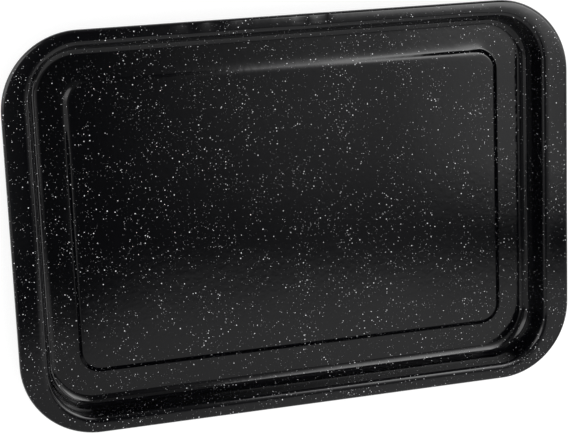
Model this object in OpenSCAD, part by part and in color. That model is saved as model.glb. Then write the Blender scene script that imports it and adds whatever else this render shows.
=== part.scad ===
// Roasting tray of enamelled steel, pressed from one sheet: a flat rim with a rolled edge,
// a steep wall, and a base whose middle panel stands a little proud of the gutter round it.
// The origin is on the surface that the tray stands on, under its middle.
// X runs along the tray, Y across it and Z up.

/* [Tray] */
// Length over the rolled edge, mm
tray_length = 380; // [300:1:460]
// Width over the rolled edge, mm
tray_width = 260; // [200:1:320]
// Depth from the top of the rim to the gutter, mm
well_depth = 24; // [16:0.2:32]
// Radius of the tray's outer corners, seen from above, mm
outer_corner = 50; // [40:1:60]
// Thickness of the steel and its enamel together, mm
sheet = 0.8; // [0.6:0.1:1.4]

/* [Rim] */
// Width of the rim at the two short ends, rolled edge included, mm
end_rim = 15.4; // [10:0.2:24]
// Width of the rim along the two long sides, rolled edge included, mm
side_rim = 7.6; // [6.6:0.2:12]
// Radius of the rolled edge, outside, mm
roll_radius = 2.3; // [1.8:0.1:3.2]
// How far the sheet is rolled round, degrees
roll_turn = 245; // [100:5:265]

/* [Wall] */
// Radius of the well's corners at the mouth, seen from above, mm
mouth_corner = 36; // [30:1:44]
// Lean of the wall away from upright, degrees
wall_draft = 5; // [3:0.5:15]
// Bend where the rim turns down into the wall, radius of the upper face, mm
mouth_bend = 3.2; // [1.8:0.1:4]
// Bend where the wall runs out into the gutter, radius of the upper face, mm
foot_bend = 6.5; // [4:0.5:9]

/* [Raised panel] */
// Distance from the well's mouth to the middle of the panel's step, mm
panel_inset = 27.8; // [24:0.2:34]
// Height of the panel above the gutter, mm
panel_rise = 2.6; // [1:0.1:3.2]
// Radius of the panel's corners, seen from above, mm
panel_corner = 13; // [8:0.5:20]
// Bend along the top of the step, radius of the upper face, mm
crown_bend = 2.5; // [2:0.5:6]
// Bend along the foot of the step, radius of the upper face, mm
toe_bend = 4.5; // [4:0.5:10]

/* [Hidden] */
$fn = 96;
enamel_black = "#17171a";

// Each bend is drawn with a chord for about this many degrees.
chord_angle = 6;
// Each bent strip ends in a flat this wide, and the plates lap over half of it.
flat_end = 1;

height = sheet + well_depth;
mouth_half = [tray_length / 2 - end_rim, tray_width / 2 - side_rim];
panel_half = mouth_half - [panel_inset, panel_inset];

// The wall is two bends with a straight between them.
wall_angle = 90 - wall_draft;
wall_bends = mouth_bend + foot_bend;
wall_straight = (well_depth - wall_bends * (1 - cos(wall_angle))) / sin(wall_angle);
wall_run = wall_bends * sin(wall_angle) + wall_straight * cos(wall_angle);

// The step is two bends that meet at its steepest line.
step_angle = acos(1 - panel_rise / (crown_bend + toe_bend));
crown_run = crown_bend * sin(step_angle);
toe_run = toe_bend * sin(step_angle);

// Points along a round bend, from one angle to the other.
function bend(centre, radius, from, to) =
    let (chords = ceil(abs(to - from) / chord_angle))
    [for (k = [0 : chords])
        let (angle = from + (to - from) * k / chords)
        centre + radius * [cos(angle), sin(angle)]];

// Section of the wall, from the gutter to the rim, with its first axis pointing out of the well
// and zero where the flat rim ends. The upper face comes first, then the lower face back.
module wall_section() {
    mouth = [0, height - mouth_bend];
    foot = [-wall_run, sheet + foot_bend];
    polygon(concat(
        [[-wall_run - flat_end, sheet]],
        bend(foot, foot_bend, -90, wall_angle - 90),
        bend(mouth, mouth_bend, 90 + wall_angle, 90),
        [[flat_end, height], [flat_end, height - sheet]],
        bend(mouth, mouth_bend - sheet, 90, 90 + wall_angle),
        bend(foot, foot_bend + sheet, wall_angle - 90, -90),
        [[-wall_run - flat_end, 0]]
    ));
}

// Section of the panel's step, from the panel out to the gutter, zero at its steepest line.
module step_section() {
    crown = [-crown_run, sheet + panel_rise - crown_bend];
    toe = [toe_run, sheet + toe_bend];
    polygon(concat(
        [[-crown_run - flat_end, sheet + panel_rise]],
        bend(crown, crown_bend, 90, 90 - step_angle),
        bend(toe, toe_bend, -90 - step_angle, -90),
        [[toe_run + flat_end, sheet], [toe_run + flat_end, 0]],
        bend(toe, toe_bend + sheet, -90, -90 - step_angle),
        bend(crown, crown_bend - sheet, 90 - step_angle, 90),
        [[-crown_run - flat_end, panel_rise]]
    ));
}

// Section of the rolled edge: the rim turns down, in and up again round a hollow,
// zero at the outermost line.
module roll_section() {
    middle = [-roll_radius, height - roll_radius];
    polygon(concat(
        [[-roll_radius - flat_end, height]],
        bend(middle, roll_radius, 90, 90 - roll_turn),
        bend(middle, roll_radius - sheet, 90 - roll_turn, 90),
        [[-roll_radius - flat_end, height - sheet]]
    ));
}

// Carries a section round a rectangle with rounded corners.
module around(half, corner) {
    for (turn = [0, 180])
        rotate(turn) {
            translate([half.x, 0, 0])
                rotate([90, 0, 0])
                    linear_extrude(2 * (half.y - corner), center = true) children();
            translate([0, half.y, 0])
                rotate([90, 0, 90])
                    linear_extrude(2 * (half.x - corner), center = true) children();
            translate([half.x - corner, half.y - corner, 0])
                rotate_extrude(angle = 90) translate([corner, 0]) children();
            translate([corner - half.x, half.y - corner, 0])
                rotate(90)
                    rotate_extrude(angle = 90) translate([corner, 0]) children();
        }
}

// Rectangle with rounded corners, moved out or in from a base outline by a margin.
module outline(half, corner, margin) {
    radius = corner + margin;
    x = half.x + margin;
    y = half.y + margin;
    square([2 * x, 2 * (y - radius)], center = true);
    square([2 * (x - radius), 2 * y], center = true);
    for (side = [-1, 1], end = [-1, 1])
        translate([end * (x - radius), side * (y - radius)]) circle(radius);
}

// Flat of the sheet with its lower face at the given level.
module plate(level) {
    translate([0, 0, level]) linear_extrude(sheet) children();
}

module tray() {
    lap = flat_end / 2;
    tray_half = [tray_length / 2, tray_width / 2];
    color(enamel_black) {
        plate(panel_rise)
            outline(panel_half, panel_corner, -crown_run - lap);
        around(panel_half, panel_corner) step_section();
        plate(0)
            difference() {
                outline(mouth_half, mouth_corner, -wall_run - lap);
                outline(panel_half, panel_corner, toe_run + lap);
            }
        around(mouth_half, mouth_corner) wall_section();
        plate(height - sheet)
            difference() {
                outline(tray_half, outer_corner, -roll_radius - lap);
                outline(mouth_half, mouth_corner, lap);
            }
        around(tray_half, outer_corner) roll_section();
    }
}

tray();
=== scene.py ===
import math

import bpy
import numpy as np
from mathutils import Matrix, Vector, noise


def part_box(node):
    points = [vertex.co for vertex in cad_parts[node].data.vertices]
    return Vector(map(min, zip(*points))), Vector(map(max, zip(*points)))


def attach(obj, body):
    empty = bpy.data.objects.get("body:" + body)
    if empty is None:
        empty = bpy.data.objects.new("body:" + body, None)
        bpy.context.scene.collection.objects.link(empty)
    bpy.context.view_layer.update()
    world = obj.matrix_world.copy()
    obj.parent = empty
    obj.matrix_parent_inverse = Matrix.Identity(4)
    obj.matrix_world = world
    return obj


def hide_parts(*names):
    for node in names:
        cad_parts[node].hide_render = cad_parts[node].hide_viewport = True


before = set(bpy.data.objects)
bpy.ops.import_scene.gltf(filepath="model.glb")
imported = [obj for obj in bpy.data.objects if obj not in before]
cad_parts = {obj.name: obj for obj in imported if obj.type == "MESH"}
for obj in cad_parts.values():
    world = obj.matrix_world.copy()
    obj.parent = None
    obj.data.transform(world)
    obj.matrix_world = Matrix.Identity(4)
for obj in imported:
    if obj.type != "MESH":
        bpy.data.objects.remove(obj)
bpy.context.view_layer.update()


# The pressing
# One sheet of steel, pressed between dies into a flat rim, a steep wall and a base with a
# raised middle panel. Its edge is rolled round and under. Lengths are in millimetres here.
half_long, half_wide, rim_top = 1000 * np.array(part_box("tray")[1])
sheet = 0.8
end_rim, side_rim, panel_inset = 15.4, 7.6, 27.8
outer_corner, mouth_corner, panel_corner = 50, 36, 13
mouth_bend, soft_mouth_bend, foot_bend, wall_angle = 3.2, 4.6, 6.5, 85
panel_rise = 2.6
roll_radius, roll_turn = 2.3, 245

# The rim falls a little towards its roll. Inside, it leans into the mouth's bend over a shoulder.
rim_lean, rim_drop = 5, 0.17
shoulder_lean, shoulder_end = 8, 3.1

# How finely each strip of the section is cut.
foot_chords, mouth_chords, roll_chords = 22, 17, 28
gutter_cuts, wall_cuts, rim_cuts = 3, 4, 7
shoulder_share = np.array([0, 0.154, 0.323, 0.52, 0.746, 1])

# A line round the tray is given by its half length, its half width and its corner radius.
outer_line = np.array([half_long, half_wide, outer_corner])
mouth_line = np.array([half_long - end_rim, half_wide - side_rim, mouth_corner])
panel_line = mouth_line - [panel_inset, panel_inset, mouth_corner - panel_corner]


def leaning(tilt):
    """The way the upper face looks, out and up, where it leans outwards by a tilt in degrees."""
    return np.stack([np.sin(np.radians(tilt)), np.cos(np.radians(tilt))], -1)


def strip(line, points, tilts):
    """Rows of half length, half width, corner radius and height, and the way each looks."""
    rows = np.column_stack([line + points[:, :1], points[:, 1]])
    return rows, leaning(tilts)[:, [0, 0, 0, 1]]


def bent(line, centre, radius, start, end, chords):
    """A strip bent round a centre. A negative radius has the centre above the sheet."""
    tilts = np.linspace(start, end, chords + 1)
    return strip(line, np.array(centre) + radius * leaning(tilts), tilts)


def joined(before, after, cuts, start=0, end=0):
    """A strip from one to the next, which leans by start at its inner end and end at its outer."""
    share = np.linspace(0, 1, cuts + 2)[1:-1]
    rows = before[0][-1] * (1 - share[:, None]) + after[0][0] * share[:, None]
    return rows, leaning(start + (end - start) * share)[:, [0, 0, 0, 1]]


def fallen(out, tilt):
    """How far a face that leans by a tilt has come down at each distance out."""
    slope = np.tan(np.radians(tilt))
    return np.append(0, np.cumsum((slope[1:] + slope[:-1]) / 2 * np.diff(out)))


# The step round the panel is steep in the middle and dies away slowly on both sides.
step_reach, step_core, step_cuts, step_samples = 9, 0.12, 24, 3601
away = np.geomspace(step_core, step_reach, step_cuts)
step_out = np.concatenate([-away[::-1], [0], away])


def step_height(tilt):
    """Height of a step over the gutter at each distance out from its middle."""
    fine = np.linspace(-step_reach, step_reach, step_samples)
    fall = fallen(fine, tilt(fine))
    return fall[-1] - np.interp(step_out, fine, fall)


def crisp_tilt(out):
    """How much a crisp step leans, in degrees, at a distance out from its middle."""
    return 40 * np.exp(-np.abs(out / 1.7) ** 5) + 2.3 * np.exp(-(out / 3.6) ** 2)


def soft_tilt(out):
    """How much a soft step leans: it is steepest further in and runs out wider."""
    steep = 18 / np.cosh((out + 0.2) / np.where(out < -0.2, 0.8, 1.6))
    return steep + 1.5 * np.exp(-((out - 2) / 3.5) ** 2)


crisp_step, soft_step = step_height(crisp_tilt), step_height(soft_tilt)
crisp_step *= panel_rise / crisp_step[0]
step = strip(panel_line, np.column_stack([step_out, sheet + crisp_step]), crisp_tilt(step_out))

# The wall is two bends with a straight between them.
wall_lean = math.radians(wall_angle)
wall_bends = mouth_bend + foot_bend
wall_straight = (rim_top - sheet - wall_bends * (1 - math.cos(wall_lean))) / math.sin(wall_lean)
wall_run = wall_bends * math.sin(wall_lean) + wall_straight * math.cos(wall_lean)
foot = bent(mouth_line, (-wall_run, sheet + foot_bend), -foot_bend, 0, -wall_angle, foot_chords)
roll_middle = (-roll_radius, rim_top - roll_radius)
roll = bent(outer_line, roll_middle, roll_radius, rim_lean, roll_turn, roll_chords)


def sheet_section(bend):
    """Rows of the upper face and back along the lower, for a bend at the well's mouth."""
    middle_out = (bend - mouth_bend) * (1 - math.cos(wall_lean)) / math.sin(wall_lean)
    start = middle_out - bend * math.sin(math.radians(shoulder_lean))
    out = start + (shoulder_end - start) * shoulder_share
    tilt = -shoulder_lean * (1 - shoulder_share) ** 1.6
    fall = fallen(out, tilt)
    height = rim_top + fall[-1] - fall
    shoulder = strip(mouth_line, np.column_stack([out, height])[1:], tilt[1:])
    middle_up = height[0] - bend * math.cos(math.radians(shoulder_lean))
    mouth = bent(
        mouth_line, (middle_out, middle_up), bend, -wall_angle, -shoulder_lean, mouth_chords)
    gutter = joined(step, foot, gutter_cuts)
    wall = joined(foot, mouth, wall_cuts, -wall_angle, -wall_angle)
    rim = joined(shoulder, roll, rim_cuts, 0, rim_lean)
    rim[0][:, 3] -= rim_drop * np.linspace(0, 1, rim_cuts + 2)[1:-1] ** 2
    edge = (roll[0] - [0, 0, 0, rim_drop], roll[1])
    strips = [step, gutter, foot, wall, mouth, shoulder, rim, edge]
    upper = np.concatenate([rows for rows, facing in strips])
    facings = np.concatenate([facing for rows, facing in strips])
    return np.concatenate([upper, (upper - sheet * facings)[::-1]])


# Each line of the section goes round a rectangle with rounded corners.
long_cuts, short_cuts, corner_cuts = 64, 40, 24
corner_angle = np.linspace(0, math.pi / 2, corner_cuts + 1)


def carried_round(half_x, half_y, corner):
    """Points round a rectangle with rounded corners, from the middle of its first corner."""
    quarter = corner * np.stack([np.cos(corner_angle), np.sin(corner_angle)], -1)
    spans = []
    for x, y, cosine, sine in ((1, 1, 1, 0), (-1, 1, 0, 1), (-1, -1, -1, 0), (1, -1, 0, -1)):
        middle = np.array([x * (half_x - corner), y * (half_y - corner)])
        spans.append(middle + quarter @ np.array([[cosine, sine], [-sine, cosine]]))
    points = []
    for turn, span in enumerate(spans):
        points.append(span)
        cuts = long_cuts if turn % 2 == 0 else short_cuts
        share = np.linspace(0, 1, cuts + 1)[1:-1, None]
        points.append(span[-1] * (1 - share) + spans[(turn + 1) % 4][0] * share)
    return np.roll(np.concatenate(points), -corner_cuts // 2, axis=0)


def rounds(section):
    """The lines of a section, each carried round at its height."""
    lines = []
    for half_x, half_y, corner, height in section:
        line = carried_round(half_x, half_y, corner)
        lines.append(np.column_stack([line, np.full(len(line), height)]))
    return np.array(lines)


lines_round = rounds(sheet_section(mouth_bend))
count, around = lines_round.shape[:2]

# Along the back and left sides the mouth's bend is wider, and the step came out softer, over a
# gutter that is a little higher there. A place is how far it is round the step, in millimetres,
# from the middle of the back right corner.
step_rows = len(step_out)
middle_line = lines_round[step_rows // 2, :, :2]
stretch = np.linalg.norm(np.diff(middle_line, axis=0, append=middle_line[:1]), axis=1)
place_round = np.concatenate([[0], np.cumsum(stretch)[:-1]])
wide_mouth = np.interp(place_round, [0, 25, 445, 475], [0, 1, 1, 0])[:, None]
soft_lines = rounds(sheet_section(soft_mouth_bend))
lines_round = lines_round * (1 - wide_mouth) + soft_lines * wide_mouth
softness = np.interp(
    place_round,
    [3, 10, 20, 27, 85, 125, 276, 284, 294, 302, 345, 375, 462, 482],
    [0, 0.9, 0.9, 0.6, 0.6, 1, 1, 0.75, 0.7, 0.08, 0.14, 0.4, 0.4, 0])
lift_share = np.interp(place_round, [0, 60, 125, 280, 330, 450, 540], [0, 0.6, 1, 1, 0.45, 0.35, 0])
gutter_lift = (panel_rise - soft_step[0]) * lift_share
blended = crisp_step[:, None] * (1 - softness) + soft_step[:, None] * softness
stepped = gutter_lift + (panel_rise - gutter_lift) * blended / blended[0] - crisp_step[:, None]
lifted = gutter_lift * (1 - np.clip((lines_round[:, :, 2] - sheet) / (rim_top - sheet), 0, 1))
lifted[:step_rows] = stepped
lifted[count - step_rows:] = stepped[::-1]
lines_round[:, :, 2] += lifted
faces = []
for row in range(count - 1):
    for k in range(around):
        here, there, after = row * around, (row + 1) * around, (k + 1) % around
        faces.append((here + k, there + k, there + after, here + after))

# The panel's flat, above and below, is a grid stretched over the innermost line. Its outline
# shares the points of that line.
grid_long, grid_short = long_cuts + corner_cuts, short_cuts + corner_cuts


def panel_flat(edge):
    """Grid of points over a closed line, blended from its four sides."""
    top = edge[:grid_long + 1]
    left = edge[grid_long:grid_long + grid_short + 1]
    bottom = edge[grid_long + grid_short:2 * grid_long + grid_short + 1][::-1]
    right = np.concatenate([edge[2 * grid_long + grid_short:], edge[:1]])[::-1]
    u = np.linspace(0, 1, grid_long + 1)[:, None, None]
    v = np.linspace(0, 1, grid_short + 1)[None, :, None]
    ruled = (1 - v) * top[:, None] + v * bottom[:, None] + (1 - u) * right[None] + u * left[None]
    corners = (1 - u) * ((1 - v) * top[0] + v * bottom[0]) + u * ((1 - v) * top[-1] + v * bottom[-1])
    return ruled - corners


points = [lines_round.reshape(-1, 3)]
for row, flip in ((0, False), (count - 1, True)):
    grid = panel_flat(lines_round[row])
    index = np.zeros((grid_long + 1, grid_short + 1), int)
    base = row * around
    index[:, 0] = base + np.arange(grid_long + 1)
    index[-1, :] = base + grid_long + np.arange(grid_short + 1)
    index[::-1, -1] = base + grid_long + grid_short + np.arange(grid_long + 1)
    index[0, ::-1] = base + (2 * grid_long + grid_short + np.arange(grid_short + 1)) % around
    inner = grid[1:-1, 1:-1].reshape(-1, 3)
    first = sum(map(len, points))
    index[1:-1, 1:-1] = first + np.arange(len(inner)).reshape(grid_long - 1, grid_short - 1)
    points.append(inner)
    for i in range(grid_long):
        for j in range(grid_short):
            face = (index[i, j], index[i + 1, j], index[i + 1, j + 1], index[i, j + 1])
            faces.append(face[::-1] if flip else face)
points = np.concatenate(points)


# Pressed sheet is never quite flat: it is a little uneven all over, and the rim along the back
# has ripples and three small dents. A dent has its middle, its reach, the length of its waves
# and its depth. The whole sheet stands up a little, so that no part of it is below the ground.
dents = ((11, 13, 14, 0.46), (-62, 12, 20, 0.3), (-28, 12, 12, 0.06))
back_rim_start, back_rim_full = 120, 125
stand_up = 0.11


def swell(x, y, long, wide, layer, height):
    """A smooth swell, as long and wide as given, cut out of noise at a layer of its own."""
    return height * noise.noise(Vector((x / long, y / wide, layer)))


def unevenness(x, y):
    """How far the sheet stands up at a place, in millimetres."""
    everywhere = swell(x, y, 62, 48, 1.5, 0.16) + swell(x, y, 23, 19, 7.3, 0.035)
    ripples = swell(x, y, 8, 9, 3.1, 0.09)
    for middle, reach, wave, depth in dents:
        turn = math.cos(2 * math.pi * (x - middle) / wave)
        ripples += depth * (turn - 1) * math.exp(-((x - middle) / reach) ** 2)
    on_back_rim = (y - back_rim_start) / (back_rim_full - back_rim_start)
    return everywhere + min(max(on_back_rim, 0), 1) * ripples


for k, (x, y, z) in enumerate(points):
    points[k, 2] = z + stand_up + unevenness(x, y)

pressing = bpy.data.meshes.new("tray_pressing")
pressing.from_pydata((points / 1000).tolist(), [], [tuple(int(i) for i in f) for f in faces])
pressing.validate()
pressing.polygons.foreach_set("use_smooth", [True] * len(pressing.polygons))
tray = bpy.data.objects.new("enamelled_tray", pressing)
bpy.context.scene.collection.objects.link(tray)
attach(tray, "root")
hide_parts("tray")


# The enamel
# Black glass powder with grains of white glass in it, sprayed over both faces and fired. It
# flows into a hard gloss skin with a faint ripple, and the grains stay as flecks of all sizes.
class Wire:
    """An output in a node tree. Arithmetic on wires and numbers adds Math nodes."""

    def __init__(self, tree, made=None, outlet=0):
        self.tree, self.made, self.outlet = tree, made, outlet

    def out(self, outlet):
        """Another output of the same node."""
        return Wire(self.tree, self.made, outlet)

    def node(self, kind, settings=None, sockets=None, outlet=0):
        """A new node: its kind, its settings, and the values or wires of its sockets."""
        made = self.tree.nodes.new("ShaderNode" + kind)
        for name, value in (settings or {}).items():
            setattr(made, name, value)
        for name, value in (sockets or {}).items():
            if isinstance(value, Wire):
                self.tree.links.new(value.made.outputs[value.outlet], made.inputs[name])
            else:
                made.inputs[name].default_value = value
        return Wire(self.tree, made, outlet)

    def math(self, operation, *values):
        """A Math node on wires and numbers."""
        return self.node("Math", {"operation": operation}, dict(enumerate(values)))

    def __add__(self, other):
        return self.math("ADD", self, other)

    def __radd__(self, other):
        return self.math("ADD", other, self)

    def __sub__(self, other):
        return self.math("SUBTRACT", self, other)

    def __rsub__(self, other):
        return self.math("SUBTRACT", other, self)

    def __mul__(self, other):
        return self.math("MULTIPLY", self, other)

    def __rmul__(self, other):
        return self.math("MULTIPLY", other, self)

    def __truediv__(self, other):
        return self.math("DIVIDE", self, other)

    def __rtruediv__(self, other):
        return self.math("DIVIDE", other, self)

    def rising(self, low, high):
        """0 up to low, 1 from high on, and smooth between."""
        return self.node("MapRange", {"interpolation_type": "SMOOTHSTEP"},
                         {"Value": self, "From Min": low, "From Max": high})

    def between(self, colour, other_colour):
        """One colour where the wire is 0, the other where it is 1, and a mix of both between."""
        return self.node("Mix", {"data_type": "RGBA"},
                         {"Factor": self, "A": colour, "B": other_colour}, "Result")


def material(name):
    """An empty material and the start of its nodes."""
    made = bpy.data.materials.new(name)
    made.use_nodes = True
    made.node_tree.nodes.clear()
    return made, Wire(made.node_tree)


enamel, nodes = material("speckled_black_enamel")
place = nodes.node("TexCoord", outlet="Object")
ragged = nodes.node("TexNoise", {}, {"Vector": place, "Scale": 2500.0, "Detail": 1.0}, "Color")
ragged = nodes.node("VectorMath", {"operation": "SCALE"}, {0: ragged, "Scale": 0.00004})
spot_place = nodes.node("VectorMath", {"operation": "ADD"}, {0: place, 1: ragged})

# The grains lie in crowds, and there are fewer of them on faces that stand upright.
crowding = nodes.node("TexNoise", {}, {"Vector": place, "Scale": 45.0, "Detail": 2.0})
facing_up = nodes.node("SeparateXYZ", {}, {0: nodes.node("TexCoord", outlet="Normal")}, "Z")
level_part = nodes.math("ABSOLUTE", facing_up).rising(0.1, 0.8)
crowding = (0.35 + 1.3 * crowding.rising(0.3, 0.7)) * (0.6 + 0.4 * level_part)


def grains_of(cell, least, most, share, dimmest, brightest, fading):
    """Grains with their spacing and their least and most radius in millimetres, the share of
    places that hold one, and how white the dimmest and the brightest are. The more fading, the
    more of them are dim."""
    cells = nodes.node("TexVoronoi", {}, {"Vector": spot_place, "Scale": 1000 / cell})
    lot = nodes.node(
        "TexWhiteNoise", {"noise_dimensions": "3D"}, {"Vector": cells.out("Color")}, "Color")
    chance = nodes.node("SeparateColor", {}, {0: lot})
    radius = (least + (most - least) * chance.out("Green")) / cell
    spot = nodes.node(
        "MapRange", {"interpolation_type": "SMOOTHSTEP"},
        {"Value": cells, "From Min": radius, "From Max": 0.75 * radius})
    chosen = nodes.math("LESS_THAN", chance, share * crowding)
    whiteness = nodes.math("POWER", chance.out("Blue"), fading)
    return spot * chosen * (dimmest + (brightest - dimmest) * whiteness)


coarse_grains = grains_of(2.8, 0.28, 0.43, 0.34, 0.95, 1.0, 1.0)
middling_grains = grains_of(1.7, 0.18, 0.30, 0.38, 0.35, 1.0, 1.0)
fine_grains = grains_of(1.2, 0.13, 0.20, 0.75, 0.05, 0.6, 1.8)
flecks = nodes.math("MAXIMUM", coarse_grains, middling_grains)
flecks = nodes.math("MAXIMUM", flecks, fine_grains)

deep_black, pale_black = (0.0008, 0.0008, 0.0013, 1), (0.0016, 0.0016, 0.0026, 1)
grain_white = (0.93, 0.93, 0.95, 1)
cloud = nodes.node("TexNoise", {}, {"Vector": place, "Scale": 120.0, "Detail": 4.0})
black_glass = cloud.between(deep_black, pale_black)
colour = flecks.between(black_glass, grain_white)
ripple = nodes.node("TexNoise", {}, {"Vector": place, "Scale": 260.0, "Detail": 1.5})
pores = nodes.node("TexNoise", {}, {"Vector": place, "Scale": 1500.0, "Detail": 1.0})
gloss_height = ripple * 0.00004 + pores * 0.0000015
gloss = nodes.node("Bump", {}, {"Height": gloss_height, "Strength": 1.0, "Distance": 1.0})
surface = nodes.node("BsdfPrincipled", {}, {
    "Base Color": colour, "Roughness": 0.04 + 0.04 * cloud, "Normal": gloss, "IOR": 1.5})
nodes.node("OutputMaterial", {}, {"Surface": surface})
pressing.materials.append(enamel)


# The floor
# A wide sheet of white card, which the tray lies on. From below it can be seen through, so
# that the tray's underside shows.
floor_half = 30
corners = [(-1, -1), (1, -1), (1, 1), (-1, 1)]
floor_mesh = bpy.data.meshes.new("floor")
floor_mesh.from_pydata([(x * floor_half, y * floor_half, 0) for x, y in corners], [], [(0, 1, 2, 3)])
floor = bpy.data.objects.new("floor", floor_mesh)
bpy.context.scene.collection.objects.link(floor)
card, nodes = material("white_card")
sight = nodes.node("LightPath")
watched = nodes.math("MAXIMUM", sight.out("Is Camera Ray"), sight.out("Is Glossy Ray"))
watched = nodes.math("MAXIMUM", watched, sight.out("Is Transmission Ray"))
matt = nodes.node("BsdfDiffuse", {}, {"Color": (0.4, 0.4, 0.4, 1)})
white = nodes.node("Emission", {}, {"Color": (1, 1, 1, 1), "Strength": watched * 0.75})
top = nodes.node("AddShader", {}, {0: matt, 1: white})
clear = nodes.node("BsdfTransparent", {}, {"Color": (1, 1, 1, 1)})
from_below = nodes.node("NewGeometry", outlet="Backfacing")
sides = nodes.node("MixShader", {}, {0: from_below, 1: top, 2: clear})
nodes.node("OutputMaterial", {}, {"Surface": sides})
floor_mesh.materials.append(card)


# The light tent
# A round tent of dark cloth over the tray, with patches of light behind it that fade out at
# their edges. Only reflections see it. The white world round it gives the plain light.
tent_radius = 0.84
bpy.ops.mesh.primitive_uv_sphere_add(segments=96, ring_count=48, radius=tent_radius)
tent = bpy.context.active_object
tent.name = "light_tent"
for ray in ("camera", "diffuse", "transmission", "volume_scatter", "shadow"):
    setattr(tent, "visible_" + ray, False)
cloth, nodes = material("tent_cloth")

# A place on the cloth is how many degrees it lies from the tent's top, to the right and back.
outwards = nodes.node("VectorMath", {"operation": "NORMALIZE"}, {0: nodes.node("NewGeometry")})
right = nodes.node("SeparateXYZ", {}, {0: outwards})
back, up = right.out("Y"), right.out("Z")
up = nodes.math("MINIMUM", nodes.math("MAXIMUM", up, -1.0), 1.0)
from_top = nodes.math("ARCCOSINE", up) * (180 / math.pi)
sideways = nodes.math("SQRT", right * right + back * back + 1e-6)
degrees_right = from_top * right / sideways
degrees_back = from_top * back / sideways


def between_edges(degrees, start, start_fade, end, end_fade):
    """1 between two edges and 0 beyond them, each fading over some degrees."""
    lit = degrees.rising(start - start_fade / 2, start + start_fade / 2)
    return lit * (1 - degrees.rising(end - end_fade / 2, end + end_fade / 2))


# Each patch has its strength, then its left and right edges and its front and back edges, and
# after each edge the degrees over which it fades.
patches = {
    "front left": (0.41, (-89, 10, 2, 8), (-90, 8, -20, 8)),
    "front right": (0.41, (2, 8, 49, 16), (-90, 8, -18, 8)),
    "low front right": (0.23, (10, 38, 51, 16), (-72, 8, -17, 5)),
    "over the middle": (0.48, (12, 26, 32, 12), (-12, 19, 27, 6)),
    "over the right end": (0.79, (30, 12, 45, 4), (-12, 6, 15, 4)),
    "over the left end": (0.1, (-33, 4, -8, 14), (-14, 5, 59, 10)),
    "left": (0.61, (-92, 6, -39, 6), (-17, 10, 60, 9)),
    "left soft box": (1.9, (-86, 6, -30, 7), (8, 20, 58, 9)),
    "right soft box": (4.7, (24, 35, 49, 4), (10, 25, 45, 14)),
    "back of the right soft box": (2.2, (13, 5, 34, 3), (31, 27, 50, 5)),
    "right": (1.45, (42, 4, 77, 7), (4, 18, 64, 18)),
    "low right": (1.4, (58, 7, 74, 5), (-32, 14, 13, 11)),
    "back": (0.14, (-19, 11, 17, 13), (37, 12, 79, 11)),
    "low back": (0.4, (24, 9, 49, 10), (75, 11, 90, 10)),
}
light = 0.047
for name, (strength, left_to_right, front_to_back) in patches.items():
    across = between_edges(degrees_right, *left_to_right)
    patch = strength * (across * between_edges(degrees_back, *front_to_back))
    patch.made.label = name
    light = light + patch
nodes.node("OutputMaterial", {}, {"Surface": nodes.node("Emission", {}, {"Strength": light})})
cloth.cycles.emission_sampling = "NONE"
tent.data.materials.append(cloth)

world = bpy.data.worlds.new("studio")
world.use_nodes = True
plain_light = world.node_tree.nodes["Background"].inputs
plain_light["Color"].default_value = (1, 1, 1, 1)
plain_light["Strength"].default_value = 1.0
bpy.context.scene.world = world


# The camera
# The photograph was taken from above the tray's left back corner, looking down at it, with a
# long lens. Its top is turned towards the tray's back.
camera_data = bpy.data.cameras.new("camera")
camera_data.lens, camera_data.sensor_width = 110.55, 36
camera_data.clip_start, camera_data.clip_end = 0.05, 100
camera = bpy.data.objects.new("camera", camera_data)
bpy.context.scene.collection.objects.link(camera)
camera_place = Vector((-0.3287, 0.2439, 1.0855))
looking = Vector((0.2791, -0.2158, -0.9357)).normalized()
picture_top = Vector((0.0992, 0.9757, -0.1954))
across = looking.cross(picture_top).normalized()
turned = Matrix((across, across.cross(looking), -looking)).transposed()
camera.matrix_world = Matrix.Translation(camera_place) @ turned.to_4x4()
bpy.context.scene.camera = camera
bpy.context.scene.view_settings.view_transform = "Standard"
